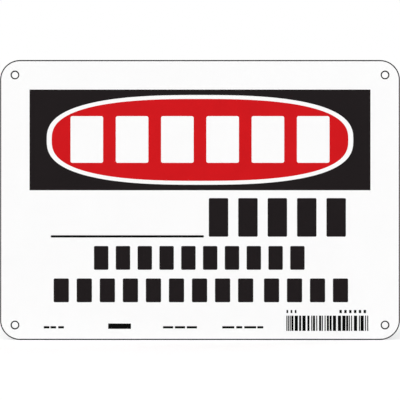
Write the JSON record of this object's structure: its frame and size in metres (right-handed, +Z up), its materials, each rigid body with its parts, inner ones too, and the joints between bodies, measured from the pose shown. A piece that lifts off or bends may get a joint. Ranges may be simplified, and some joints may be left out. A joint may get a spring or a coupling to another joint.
{
  "type": "safety sign",
  "caption": "Flat safety sign of thin metal sheet with round corners, corner fixing holes, a black header panel with a red oval, and a rule to write on.",
  "frame": {"origin": "centre of the four fixing holes, on the sheet's back face", "axes": "+X to the right across the printed face, along the sheet's long side; +Y from the printed face through the sheet to the wall or fence behind it; +Z up"},
  "size_m": [0.254, 0.001, 0.1778],
  "materials": {
    "bare_aluminium": "satin",
    "white_coat": "satin",
    "black_ink": "satin",
    "red_ink": "satin"
  },
  "bodies": {
    "root": {"sign_sheet": "bare_aluminium"}
  },
  "joints": []
}
